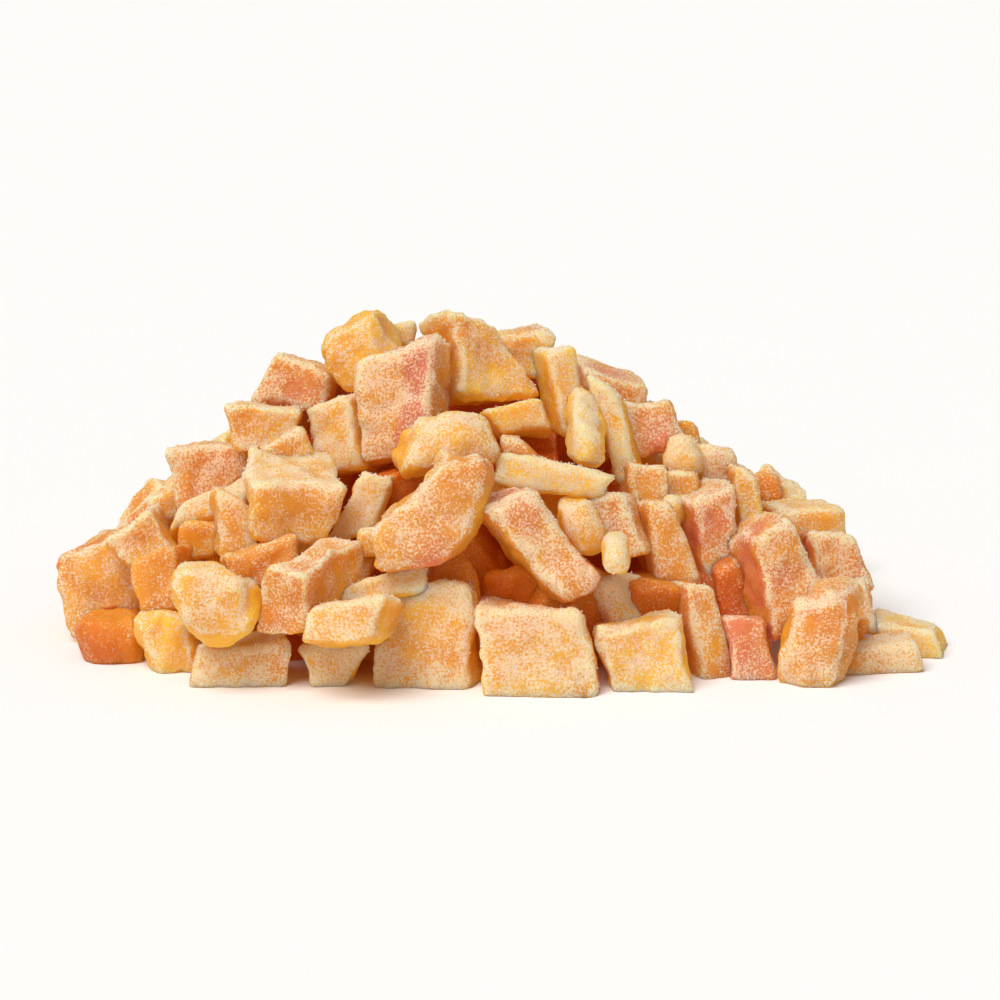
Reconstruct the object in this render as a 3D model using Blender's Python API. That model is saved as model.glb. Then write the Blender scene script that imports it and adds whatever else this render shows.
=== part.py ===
"""A heap of candied mango dice lying on a flat surface, as one solid.

A smooth low mound is the core, and the cut pieces that show are fused onto it at their true size: dice, slabs, wedges,
rounded ends and curled rinds. +Z is up, the origin is on the flat underside, below the middle of the heap, and the
front, the side shown in the photograph, faces -Y. Lengths are in millimetres until a mesh is made.
"""

import bmesh
import bpy
import numpy as np
from mathutils import Euler, Vector

MM = 0.001

# The heap: a ragged cone with its crest left of the middle, over an oval footprint.
CREST_AT = (-10.0, 3.0)
CREST_HEIGHT = 45.5
RUN_LEFT, RUN_RIGHT = 57.0, 74.0  # from the crest out to where each slope would meet the floor
RUN_FRONT, RUN_BACK = 55.0, 49.0
MIDDLE = (-2.5, 0.0)  # of the footprint, where the slopes are cut short by the bottom row
HALF_WIDTH, HALF_DEPTH = 48.5, 41.0
SQUARENESS = 2.5  # of the footprint: 2 would be an ellipse
TOP_SEEN = 35.0  # how far up the view the outline's crest is, and how it falls away from it to the left and right
FALL_LEFT, FALL_RIGHT = 0.0185, 0.00135

# The view that the places below are read in: a little above the floor, looking along +Y.
VIEW_RAISED = np.radians(12.0)
VIEW_DISTANCE = 600.0
VIEW_AIM = 14.5  # how far up the view the middle of the picture is

SOFT_EDGE = 0.9  # how much is cut off an edge
OUT_OF_TRUE = 0.09  # how far a corner may stray, as a share of the size
OVERSIZE = 1.05  # faces that were read off are cut this much larger, for what the soft edges take off
READ_OFF = 0.25  # the share of that left to corners that were read off the view
PIECE_SIZE = 10.6
SPACING = 7.2  # the least between the middles of two pieces
RING_SPACING = 9.0
RING_INSETS = (4.8, 11.0, 17.0, 23.5, 30.0, 36.0, 8.0, 14.0, 20.0, 27.0, 33.0)  # in from the edge of the footprint
UNDER_SKIN = 7.6  # how far below the skin the middle of an unseen piece is kept
INWARD = np.array([0.0, 1.0, 0.0])
CORE_DEPTH = 7.0  # from the outer skin in to the core
CORE_INSET = 5.0  # from the edge of the footprint in to the core
FLOOR_SINK = 1.5  # what stands on the floor is made this much longer and trimmed flat
SETTLE_ROUNDS = 40

# How each kind of piece differs from a plain box. Angles in degrees.
FORMS = {
    "dice": {},
    "slant": {"skew": -0.2},
    "rhomb": {"skew": -0.55},
    "wedge": {"taper": 0.3},
    "lobe": {"soft": 2.6},
    "crescent": {"bend": -85, "point": 0.35},
    "curl": {"arch": 65, "point": 0.3},
    "strip": {"arch": 20, "point": 0.25},
}
UNSEEN_ODDS = (0.44, 0.14, 0.04, 0.12, 0.12, 0.07, 0.07, 0.0)  # of each form, among the unseen pieces

# Pieces on the slope, from the crest down. Each is given by the corners of its front face as they are seen from the
# front, in millimetres across and up: top left, top right, bottom right, bottom left. Lean tips the top of the face
# back, turn swings the left side into view, and proud brings the piece forward.
SLOPE = [
    # form, corners, deep, lean, turn, proud
    ("lobe", (-22.8, 33.6), (-15.6, 39.0), (-11.5, 32.5), (-19.0, 26.8), 10.0, 10, 0, 0.0),
    ("dice", (-14.2, 36.2), (-10.6, 37.0), (-10.8, 33.6), (-14.6, 33.2), 8.0, 10, 0, -2.0),
    ("dice", (-6.3, 38.6), (-0.8, 37.4), (5.6, 27.6), (-4.5, 27.8), 9.0, 16, 30, 2.0),
    ("dice", (-18.4, 31.6), (-8.2, 35.0), (-8.8, 20.4), (-17.4, 19.6), 9.0, 14, -14, 3.0),
    ("lobe", (-9.0, 24.8), (-0.8, 25.0), (0.8, 18.6), (-13.6, 18.0), 15.0, 12, 8, 4.0),
    ("dice", (-2.6, 25.8), (5.6, 27.4), (6.6, 23.4), (0.0, 22.9), 11.5, 18, 5, 2.0),
    ("dice", (-0.4, 35.0), (7.2, 35.8), (6.2, 29.6), (2.4, 29.8), 10.0, 10, 10, -3.0),
    ("dice", (5.8, 33.4), (10.0, 34.0), (10.4, 22.6), (8.0, 22.4), 9.0, 12, 15, 2.5),
    ("dice", (10.3, 30.4), (14.4, 28.4), (17.6, 16.8), (14.6, 16.2), 9.0, 12, -10, 2.5),
    ("lobe", (9.2, 23.6), (12.8, 22.0), (13.2, 17.2), (8.6, 18.2), 17.0, -10, 0, 1.5),
    ("dice", (10.4, 31.0), (18.6, 28.8), (18.2, 25.4), (10.8, 28.0), 11.0, -1, 10, -1.5),
    ("dice", (15.2, 26.6), (21.2, 27.0), (24.0, 21.2), (17.0, 19.4), 10.0, 12, 10, 0.0),
    ("lobe", (20.8, 22.6), (25.2, 22.0), (25.4, 17.0), (20.4, 17.8), 9.5, 12, 0, 0.5),
    ("dice", (22.4, 24.8), (25.0, 24.2), (25.2, 21.2), (22.8, 21.4), 8.0, 12, 0, -1.5),
    ("dice", (16.6, 19.6), (21.4, 18.6), (20.8, 13.4), (15.8, 12.0), 11.5, 15, 15, 0.5),
    ("dice", (20.4, 18.4), (24.9, 17.6), (24.8, 14.4), (20.2, 14.0), 9.0, 12, 0, -0.5),
    ("lobe", (20.2, 15.4), (23.6, 14.8), (23.2, 11.4), (20.8, 11.6), 8.0, 12, 0, 0.5),
    ("dice", (24.8, 21.6), (29.4, 20.8), (30.4, 16.0), (25.8, 15.4), 9.0, 15, 10, 0.0),
    ("dice", (29.0, 19.0), (32.2, 17.4), (33.2, 10.6), (30.2, 9.2), 12.0, 12, 0, -1.0),
    ("dice", (31.8, 18.0), (35.0, 17.8), (35.6, 14.2), (32.8, 14.0), 8.0, 10, 0, -2.0),
    ("dice", (34.0, 13.4), (43.0, 13.6), (44.0, 9.2), (36.6, 9.6), 10.0, 4, 10, 0.0),
    ("dice", (-28.4, 33.0), (-21.4, 30.3), (-22.0, 26.0), (-32.2, 26.6), 11.0, 12, -8, 0.0),
    ("dice", (-34.6, 26.2), (-24.6, 25.8), (-26.6, 21.8), (-33.0, 20.6), 10.5, 7, 0, 1.0),
    ("dice", (-24.8, 25.8), (-19.2, 27.8), (-17.6, 18.8), (-23.2, 17.8), 9.5, 12, -25, 1.5),
    ("dice", (-42.2, 20.9), (-31.0, 21.4), (-31.4, 17.4), (-40.4, 12.8), 11.0, 12, 0, 0.0),
    ("dice", (-29.5, 21.2), (-24.2, 23.8), (-22.6, 18.2), (-31.0, 17.2), 10.0, 12, 8, 0.0),
    ("dice", (-31.0, 16.4), (-19.4, 15.8), (-21.8, 9.0), (-30.6, 9.6), 13.0, -5, 6, 2.5),
    ("dice", (-39.8, 14.2), (-31.0, 18.4), (-31.2, 14.2), (-41.6, 10.8), 8.5, 42, 0, 1.0),
    ("dice", (-40.4, 11.6), (-35.2, 11.8), (-35.4, 7.4), (-40.2, 6.2), 8.0, 12, 0, -1.5),
    ("dice", (-35.4, 15.8), (-31.0, 13.8), (-30.0, 8.2), (-35.3, 7.0), 10.0, 12, 8, 3.0),
    ("dice", (-44.6, 14.8), (-40.6, 16.2), (-39.6, 12.2), (-43.2, 11.8), 9.0, 10, 0, -1.0),
    ("dice", (-49.6, 9.2), (-43.6, 13.6), (-40.6, 7.8), (-46.0, 6.0), 11.5, 12, 0, 0.5),
    ("lobe", (-56.4, 7.4), (-48.0, 11.0), (-43.0, 1.4), (-54.8, -4.0), 12.0, 12, -8, 0.0),
    ("dice", (-46.4, 6.6), (-40.4, 9.4), (-40.2, 0.8), (-45.0, 0.4), 10.0, 12, -12, 0.0),
    ("lobe", (-41.2, 6.8), (-31.0, 4.8), (-30.6, -3.2), (-39.6, -2.8), 10.0, 12, 0, 4.0),
    ("dice", (-34.8, 7.6), (-24.8, 10.4), (-25.2, 4.6), (-33.0, 3.2), 8.5, 12, 8, 1.5),
    ("dice", (-28.8, 6.4), (-24.4, 5.2), (-24.8, -2.8), (-30.8, -2.2), 12.0, -6, -36, 3.0),
    ("dice", (-17.0, 18.0), (-13.4, 17.4), (-15.4, 10.6), (-21.8, 8.8), 11.0, 12, 0, 2.5),
    ("dice", (-15.6, 17.4), (-8.4, 18.8), (-9.2, 11.2), (-15.6, 11.0), 10.0, 12, 10, -3.5),
    ("crescent", (-4.8, 20.6), (0.7, 14.9), (-11.5, 3.0), (-17.0, 8.7), 8.0, 10, 0, 4.5),
    ("dice", (-18.0, 10.8), (-14.0, 11.4), (-13.0, 7.0), (-17.4, 7.2), 9.0, 10, 0, -0.5),
    ("dice", (-19.6, 4.0), (-9.4, 7.0), (-9.2, 3.2), (-20.2, 1.2), 10.0, 20, 0, 1.5),
    ("dice", (-23.8, 1.4), (-14.4, 2.6), (-16.4, -2.6), (-25.0, -3.8), 11.5, 14, -10, 2.0),
    ("lobe", (-9.2, 7.0), (-4.4, 8.4), (-1.6, 0.6), (-8.8, 1.0), 9.0, 10, 0, -1.0),
    ("lobe", (-5.6, 7.8), (0.4, 9.6), (2.0, 3.0), (-2.8, 2.2), 10.0, 10, 10, -6.0),
    ("dice", (-1.4, 5.4), (5.8, 6.4), (7.0, -0.4), (-2.0, -1.0), 10.0, 10, 0, -5.0),
    ("dice", (-1.2, 17.8), (4.2, 16.8), (3.8, 13.8), (-1.6, 14.2), 8.5, 12, 0, 1.0),
    ("dice", (4.0, 16.8), (10.8, 15.8), (9.4, 11.4), (4.8, 11.8), 8.0, 12, 0, 0.0),
    ("dice", (-1.9, 13.4), (4.0, 16.2), (13.2, 4.2), (8.6, 0.8), 11.0, 14, 14, 4.0),
    ("lobe", (6.8, 14.0), (12.0, 15.0), (14.0, 8.4), (9.0, 7.8), 11.0, 12, 0, 6.0),
    ("dice", (11.0, 14.8), (15.0, 15.8), (18.6, 8.0), (14.4, 6.6), 11.0, 12, -8, 3.0),
    ("lobe", (13.0, 9.8), (16.0, 10.0), (16.4, 5.2), (13.0, 5.4), 9.5, 10, 0, 6.5),
    ("strip", (13.8, 17.8), (12.6, 14.4), (-0.8, 16.4), (-0.6, 20.8), 4.0, 12, 0, 4.5),
    ("dice", (0.0, 22.6), (2.4, 22.2), (5.8, 19.0), (0.4, 19.6), 11.5, 10, 0, 0.5),
    ("dice", (18.4, 14.2), (21.8, 14.2), (25.6, 3.6), (19.6, 3.4), 11.0, 12, 10, 2.5),
    ("dice", (24.2, 14.4), (29.6, 17.2), (30.4, 7.2), (25.8, 4.8), 11.0, 12, 20, 3.0),
    ("lobe", (11.6, 5.2), (18.2, 5.0), (19.8, -1.6), (11.0, -1.6), 8.0, 14, 0, -4.0),
    ("dice", (26.8, 5.8), (30.6, 8.2), (32.0, -0.8), (27.4, -0.8), 10.0, 10, 10, -3.5),
    ("dice", (31.8, 9.2), (36.4, 12.8), (40.8, 4.2), (34.6, -3.2), 12.0, 12, 18, 3.0),
    ("dice", (38.6, 10.6), (45.0, 9.4), (47.2, 3.6), (40.2, 3.2), 10.0, 12, 0, -0.5),
    ("dice", (40.8, 3.8), (45.8, 4.4), (47.4, -2.2), (42.4, -1.8), 8.5, 12, 0, 1.0),
    ("dice", (40.8, -0.4), (46.4, -0.6), (45.4, -4.4), (39.8, -6.0), 8.0, 12, 0, 1.0),
]

# Pieces that stand on the floor, left to right, given in the same way.
BOTTOM_ROW = [
    # form, corners, deep, lean, turn
    ("lobe", (-53.2, -0.4), (-44.6, 0.2), (-44.0, -6.0), (-51.4, -5.6), 12.0, 4, 6),
    ("lobe", (-45.6, 1.2), (-40.0, 1.6), (-36.4, -6.8), (-43.6, -7.4), 9.5, 12, 0),
    ("dice", (-37.8, -4.8), (-26.4, -3.2), (-27.4, -9.2), (-38.6, -8.8), 8.0, 5, 0),
    ("dice", (-25.0, -3.8), (-15.8, -4.2), (-19.4, -9.6), (-23.8, -9.6), 8.0, 5, 0),
    ("dice", (-13.5, 2.6), (-3.8, 2.8), (-4.0, -9.8), (-16.0, -9.8), 12.0, 11, -9),
    ("dice", (-3.0, 1.4), (10.1, 1.1), (12.3, -9.7), (-0.6, -9.8), 11.5, 11, 0),
    ("dice", (11.6, -0.9), (21.8, 0.1), (24.0, -8.8), (14.8, -9.4), 11.5, 11, 0),
    ("dice", (23.2, 3.9), (26.6, 3.7), (29.8, -7.8), (25.2, -8.3), 10.5, 11, 22),
    ("dice", (27.6, 0.3), (33.0, 0.3), (34.8, -7.6), (29.2, -7.6), 11.0, 10, 0),
    ("lobe", (35.8, 1.8), (44.8, 4.2), (41.8, -8.6), (34.4, -8.6), 10.0, 11, -6),
    ("dice", (42.0, -4.6), (52.6, -3.4), (53.2, -6.9), (39.6, -8.4), 8.0, 3, 6),
    ("dice", (46.4, -0.8), (54.4, -2.2), (55.8, -5.6), (48.6, -5.4), 8.0, 2, -6),
]

# ---------------------------------------------------------------- where the pieces lie


def skin_height(x, y):
    """Height of the heap's outer skin over the floor, below zero outside the footprint."""
    across = np.where(x < CREST_AT[0], RUN_LEFT, RUN_RIGHT)
    along = np.where(y < CREST_AT[1], RUN_FRONT, RUN_BACK)
    slope = np.hypot((x - CREST_AT[0]) / across, (y - CREST_AT[1]) / along)
    outside = (np.abs((x - MIDDLE[0]) / HALF_WIDTH) ** SQUARENESS
               + np.abs((y - MIDDLE[1]) / HALF_DEPTH) ** SQUARENESS) > 1
    return np.where(outside, -1.0, CREST_HEIGHT * (1 - slope))


def round_the_footprint(inset, angle):
    """The footprint's outline brought in by an inset."""
    cos, sin = np.cos(angle), np.sin(angle)
    x = MIDDLE[0] + (HALF_WIDTH - inset) * np.sign(cos) * np.abs(cos) ** (2 / SQUARENESS)
    y = MIDDLE[1] + (HALF_DEPTH - inset) * np.sign(sin) * np.abs(sin) ** (2 / SQUARENESS)
    return x, y


def view_ray(across, up):
    """Eye and direction of the line of sight through a place in the view."""
    ahead = np.array([0, np.cos(VIEW_RAISED), -np.sin(VIEW_RAISED)])
    upward = np.array([0, np.sin(VIEW_RAISED), np.cos(VIEW_RAISED)])
    eye = VIEW_AIM * upward - VIEW_DISTANCE * ahead
    through = np.array([across, 0, 0]) + up * upward
    return eye, (through - eye) / np.linalg.norm(through - eye)


def on_the_skin(across, up):
    """The first point of the skin along a line of sight, or the nearest miss."""
    eye, ray = view_ray(across, up)
    steps = np.arange(VIEW_DISTANCE - 80, VIEW_DISTANCE + 80, 0.2)
    points = eye + steps[:, None] * ray
    above = points[:, 2] - skin_height(points[:, 0], points[:, 1])
    hit = int(np.argmax(above < 0)) if (above < 0).any() else int(np.argmin(above))
    return points[hit], ray


def on_the_floor(across, foot):
    """The point of the floor along a line of sight."""
    eye, ray = view_ray(across, foot)
    return eye - ray * eye[2] / ray[2]


def axes_of(roll, lean, turn):
    """Rows: the piece's own width, depth and height directions."""
    turned = Euler(np.radians([-lean, roll, turn]), "YXZ")
    return np.array(turned.to_matrix()).T


def face_through(corners, anchor, depth):
    """Where the lines of sight through a face's corners meet the plane of the face."""
    points = []
    for across, up in corners:
        eye, ray = view_ray(across, up)
        points.append(eye + ray * ((anchor - eye) @ depth) / (ray @ depth))
    middle = np.mean(points, axis=0)
    return middle + OVERSIZE * (np.array(points) - middle)


def behind_face(form, face, depth, deep):
    """The piece behind a front face: its middle, size and axes, and how far its corners are from those of a box."""
    top_left, top_right, bottom_right, bottom_left = face
    wide = (top_right - top_left + bottom_right - bottom_left) / 2
    tall = (top_left - bottom_left + top_right - bottom_right) / 2
    across = wide / np.linalg.norm(wide)
    upward = np.cross(across, depth)
    size = np.array([np.linalg.norm(wide), deep, tall @ upward])
    middle = face.mean(axis=0)
    pulled = np.zeros((2, 2, 2, 3))
    for i, k, corner in ((0, 1, top_left), (1, 1, top_right), (1, 0, bottom_right), (0, 0, bottom_left)):
        pulled[i, :, k, 0] = (corner - middle) @ across - (i - 0.5) * size[0]
        pulled[i, :, k, 2] = (corner - middle) @ upward - (k - 0.5) * size[2]
    return {"form": form, "at": middle + depth * deep / 2, "size": size, "axes": np.array([across, depth, upward]),
            "pulled": pulled}


def seen_pieces():
    """The pieces of both lists, each with the way it may slide to make room."""
    pieces = []
    for form, *corners, deep, lean, turn, proud in SLOPE:
        surface, ray = on_the_skin(*np.mean(corners, axis=0))
        depth = axes_of(0, lean, turn)[1]
        pieces.append(behind_face(form, face_through(corners, surface - ray * proud, depth), depth, deep))
        pieces[-1].update(slide=ray, reach=4.0)
    for form, *corners, deep, lean, turn in BOTTOM_ROW:
        foot = on_the_floor(*np.mean(corners[2:], axis=0))
        depth = axes_of(0, lean, turn)[1]
        pieces.append(behind_face(form, face_through(corners, foot, depth), depth, deep))
        pieces[-1].update(slide=INWARD, reach=2.0)
    return pieces


def outline_height(x, y):
    """The height over the floor, at a place, that shows level with the heap's outline in the view."""
    out = x - CREST_AT[0]
    up = TOP_SEEN - np.where(out < 0, FALL_LEFT * out ** 2, FALL_RIGHT * np.abs(out) ** 2.5)
    return (up - y * np.sin(VIEW_RAISED)) / np.cos(VIEW_RAISED)


def add_unseen(pieces, random):
    """More pieces in rings up the heap, a little under its skin, wherever the first ones leave room."""
    for ring, inset in enumerate(RING_INSETS):
        count = round(np.pi * (HALF_WIDTH + HALF_DEPTH - 2 * inset) / RING_SPACING)
        for angle in (np.arange(count) + random.uniform()) * 2 * np.pi / count:
            at = np.array([*round_the_footprint(inset, angle), 0.0])
            at[:2] += random.uniform(-1, 1, 2)
            form = random.choice(list(FORMS), p=UNSEEN_ODDS)
            size = PIECE_SIZE * random.uniform([0.75, 0.65, 0.75], [1.1, 0.95, 1.15])
            axes = axes_of(*random.uniform([-60, -30, -180], [60, 50, 180]))
            resting = 0.46 * np.abs(axes[:, 2]) @ size
            at[2] = max(resting, (ring > 0) * (float(skin_height(*at[:2])) - UNDER_SKIN))
            shows = at[2] > outline_height(at[0], at[1]) - 4.5
            if not shows and min(np.linalg.norm(at - piece["at"]) for piece in pieces) > SPACING:
                pieces.append({"form": form, "at": at, "size": size, "axes": axes, "slide": None, "reach": 2.5})


def settle(pieces):
    """Parts overlapping pieces a little at a time. What is seen only slides along its own line of sight."""
    start = np.array([piece["at"] for piece in pieces])
    half = 0.46 * np.array([piece["size"] for piece in pieces])
    axes = np.array([piece["axes"] for piece in pieces])
    freedom = np.array([np.eye(3) if piece["slide"] is None else np.outer(piece["slide"], piece["slide"])
                        for piece in pieces])
    reach = np.array([piece["reach"] for piece in pieces])
    first, second = np.triu_indices(len(pieces), 1)
    near = np.linalg.norm(start[first] - start[second], axis=1) < 22
    first, second = first[near], second[near]
    crossed = np.cross(axes[first][:, :, None], axes[second][:, None]).reshape(len(first), 9, 3)
    length = np.linalg.norm(crossed, axis=2, keepdims=True)
    crossed = np.where(length > 0.1, crossed / np.maximum(length, 0.1), axes[first][:, :1])
    ways = np.concatenate([axes[first], axes[second], crossed], axis=1)
    extent = sum(np.einsum("pwa,pa->pw", np.abs(np.einsum("pwk,pak->pwa", ways, axes[own])), half[own])
                 for own in (first, second))
    ease = sum(np.einsum("pwk,pkl,pwl->pw", ways, freedom[own], ways) for own in (first, second))
    lowest = np.einsum("pa,pa->p", np.abs(axes[:, :, 2]), half)
    unseen = np.array([piece["slide"] is None for piece in pieces])
    pick = np.arange(len(first))
    at = start.copy()
    for _ in range(SETTLE_ROUNDS):
        apart = np.einsum("pwk,pk->pw", ways, at[second] - at[first])
        overlap = extent - np.abs(apart)
        touching = (overlap > 0).all(axis=1)
        best = (overlap / np.maximum(ease, 0.02)).argmin(axis=1)
        push = touching * overlap[pick, best] / np.maximum(ease[pick, best], 0.2)
        push = 0.3 * (push * np.where(apart[pick, best] < 0, -1, 1))[:, None] * ways[pick, best]
        np.add.at(at, second, np.einsum("pkl,pl->pk", freedom[second], push))
        np.add.at(at, first, -np.einsum("pkl,pl->pk", freedom[first], push))
        moved = at - start
        far = np.linalg.norm(moved, axis=1)
        at = start + moved * (np.minimum(far, reach) / np.maximum(far, 1e-9))[:, None]
        hidden = outline_height(at[:, 0], at[:, 1])
        ceiling = np.minimum(skin_height(at[:, 0], at[:, 1]), hidden) - UNDER_SKIN + 0.5
        at[unseen, 2] = np.maximum(np.minimum(at[unseen, 2], ceiling[unseen]), lowest[unseen])
    for piece, middle in zip(pieces, at):
        piece["at"] = middle


def lay_out():
    """Every piece that shows, in its final place."""
    pieces = seen_pieces()
    add_unseen(pieces, np.random.default_rng(7))
    settle(pieces)
    return pieces


# ---------------------------------------------------------------- what the pieces are


def bent(along, across, degrees):
    """Carries a straight piece round an arc: its length curves towards +across."""
    radius = np.ptp(along) / np.radians(abs(degrees))
    angle = along / radius
    side = np.sign(degrees)
    return (radius - side * across) * np.sin(angle), side * (radius - (radius - side * across) * np.cos(angle))


def shaped(points, piece, random):
    """A box's points pulled into the form of one cut piece."""
    half = piece["size"] / 2
    shape = FORMS[piece["form"]]
    corners = random.uniform(-1, 1, (2, 2, 2, 3)) * OUT_OF_TRUE * piece["size"]
    if "pulled" in piece:
        corners[:, 0] *= READ_OFF
        corners += piece["pulled"]
    share = np.clip(points / half * 0.5 + 0.5, 0, 1)
    for i in range(2):
        for j in range(2):
            for k in range(2):
                picked = np.where([i, j, k], share, 1 - share).prod(axis=1)
                points = points + picked[:, None] * corners[i, j, k]
    x, y, z = points.T
    narrow = 1 - shape.get("taper", 0) * z / half[2] - shape.get("point", 0) * np.minimum((z / half[2]) ** 2, 1)
    x = x * narrow + shape.get("skew", 0) * z
    if "bend" in shape:
        z, x = bent(z, x, shape["bend"])
    if "arch" in shape:
        z, y = bent(z, y, shape["arch"])
    return np.stack([x, y, z], axis=1)


def mango_piece(name, piece, random):
    """One cut piece as a mesh object: a box with its edges softened, shaped, turned and set in its place."""
    size = piece["size"]
    shape = FORMS[piece["form"]]
    mesh = bmesh.new()
    bmesh.ops.create_cube(mesh, size=1)
    bmesh.ops.scale(mesh, vec=Vector(size), verts=mesh.verts)
    if "bend" in shape or "arch" in shape:
        upright = [edge for edge in mesh.edges if abs(edge.verts[0].co.z - edge.verts[1].co.z) > 0.1]
        bmesh.ops.subdivide_edges(mesh, edges=upright, cuts=4, use_grid_fill=True)
    sharp = [edge for edge in mesh.edges if edge.calc_face_angle() > 0.5]
    soft = min(shape.get("soft", SOFT_EDGE), 0.32 * min(size))
    bmesh.ops.bevel(mesh, geom=sharp, offset=soft, segments=1, affect="EDGES", profile=0.5)
    points = shaped(np.array([vert.co for vert in mesh.verts]), piece, random)
    points = points @ piece["axes"] + piece["at"]
    points[:, 2] -= FLOOR_SINK * (points[:, 2] < 1.2)
    for vert, point in zip(mesh.verts, points):
        vert.co = Vector(point) * MM
    return mesh_object(name, mesh)


def mesh_object(name, mesh):
    data = bpy.data.meshes.new(name)
    mesh.to_mesh(data)
    mesh.free()
    return bpy.data.objects.new(name, data)


def mound_core(name):
    """The smooth mound inside: rings of the skin brought in, closed below the floor."""
    mesh = bmesh.new()
    around = np.linspace(0, 2 * np.pi, 36, endpoint=False)
    rings = []
    for out in (1.0, 0.97, 0.8, 0.6, 0.4, 0.2):
        foot_x, foot_y = round_the_footprint(CORE_INSET, around)
        x = out * foot_x + (1 - out) * CREST_AT[0]
        y = out * foot_y + (1 - out) * CREST_AT[1]
        height = np.maximum(skin_height(x, y) - 1.1 * CORE_DEPTH, 2.0)
        z = np.full_like(x, -FLOOR_SINK) if out == 1.0 else height
        rings.append([mesh.verts.new(Vector(point) * MM) for point in np.stack([x, y, z], axis=1)])
    for low, high in zip(rings, rings[1:]):
        for k in range(len(around)):
            after = (k + 1) % len(around)
            mesh.faces.new((low[k], low[after], high[after], high[k]))
    mesh.faces.new(rings[0][::-1])
    top = mesh.verts.new(Vector((*CREST_AT, CREST_HEIGHT - 1.3 * CORE_DEPTH)) * MM)
    for k in range(len(around)):
        mesh.faces.new((rings[-1][k], rings[-1][(k + 1) % len(around)], top))
    bmesh.ops.recalc_face_normals(mesh, faces=mesh.faces)
    return mesh_object(name, mesh)


def floor_cutter():
    """What lies below the floor is cut away, so that the heap has one flat underside."""
    mesh = bmesh.new()
    bmesh.ops.create_cube(mesh, size=1)
    for vert in mesh.verts:
        vert.co = Vector((vert.co.x * 200, vert.co.y * 200, (vert.co.z - 0.5) * 20)) * MM
    cutter = mesh_object("floor_cutter", mesh)
    cutter.hide_render = True
    cutter.display_type = "WIRE"
    return cutter


# ---------------------------------------------------------------- putting it together


def boolean(target, operation, **operand):
    modifier = target.modifiers.new(operation.lower(), "BOOLEAN")
    modifier.operation = operation
    modifier.solver = "MANIFOLD"
    for name, value in operand.items():
        setattr(modifier, name, value)


def apply_modifiers(obj):
    bpy.context.view_layer.update()
    graph = bpy.context.evaluated_depsgraph_get()
    data = bpy.data.meshes.new_from_object(obj.evaluated_get(graph))
    obj.modifiers.clear()
    obj.data = data


def keep_largest_shell(obj):
    """Drops sealed hollows between the pieces and scraps that touch nothing, so that one closed body is left."""
    mesh = bmesh.new()
    mesh.from_mesh(obj.data)
    left = set(mesh.faces)
    shells = []
    while left:
        shell, front = set(), [left.pop()]
        while front:
            face = front.pop()
            shell.add(face)
            for edge in face.edges:
                for other in edge.link_faces:
                    if other in left:
                        left.remove(other)
                        front.append(other)
        shells.append(shell)
    largest = max(shells, key=len)
    bmesh.ops.delete(mesh, geom=[face for face in mesh.faces if face not in largest], context="FACES")
    bmesh.ops.triangulate(mesh, faces=mesh.faces)
    mesh.to_mesh(obj.data)
    mesh.free()


def candied_flesh():
    material = bpy.data.materials.new("candied_mango")
    material.use_nodes = True
    surface = material.node_tree.nodes["Principled BSDF"]
    surface.inputs["Base Color"].default_value = (0.86, 0.47, 0.17, 1)
    surface.inputs["Roughness"].default_value = 0.6
    surface.inputs["Metallic"].default_value = 0.0
    return material


def build():
    for obj in list(bpy.data.objects):
        bpy.data.objects.remove(obj)
    scene = bpy.context.scene.collection
    cut_pieces = bpy.data.collections.new("cut_pieces")
    scene.children.link(cut_pieces)
    random = np.random.default_rng(11)
    for index, piece in enumerate(lay_out()):
        cut_pieces.objects.link(mango_piece(f"cut_{index:03d}", piece, random))
    heap = mound_core("mango_heap")
    scene.objects.link(heap)
    cutter = floor_cutter()
    scene.objects.link(cutter)
    boolean(heap, "UNION", operand_type="COLLECTION", collection=cut_pieces)
    boolean(heap, "DIFFERENCE", object=cutter)
    apply_modifiers(heap)
    for obj in list(cut_pieces.objects) + [cutter]:
        bpy.data.objects.remove(obj)
    bpy.data.collections.remove(cut_pieces)
    keep_largest_shell(heap)
    heap.data.materials.clear()
    heap.data.materials.append(candied_flesh())
    return heap


build()
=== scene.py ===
import bpy
import numpy as np
from mathutils import Euler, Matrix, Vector


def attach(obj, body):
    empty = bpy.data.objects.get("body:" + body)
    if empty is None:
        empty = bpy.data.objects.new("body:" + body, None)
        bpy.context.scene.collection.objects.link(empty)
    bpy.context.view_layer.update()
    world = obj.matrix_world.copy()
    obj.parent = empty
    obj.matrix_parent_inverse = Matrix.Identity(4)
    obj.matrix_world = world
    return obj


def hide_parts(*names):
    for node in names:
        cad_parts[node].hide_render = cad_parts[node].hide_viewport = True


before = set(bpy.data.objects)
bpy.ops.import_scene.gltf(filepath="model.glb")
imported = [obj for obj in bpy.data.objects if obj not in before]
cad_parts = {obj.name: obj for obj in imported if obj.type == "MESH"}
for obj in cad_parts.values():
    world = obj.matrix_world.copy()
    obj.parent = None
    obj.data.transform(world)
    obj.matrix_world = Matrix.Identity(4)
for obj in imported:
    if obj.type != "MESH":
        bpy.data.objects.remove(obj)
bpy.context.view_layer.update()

# A heap of candied mango dice. Lengths in the dictionaries are millimetres; meshes are made in metres.
# +Z is up and the front of the heap faces -Y.
mm = 0.001

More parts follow.
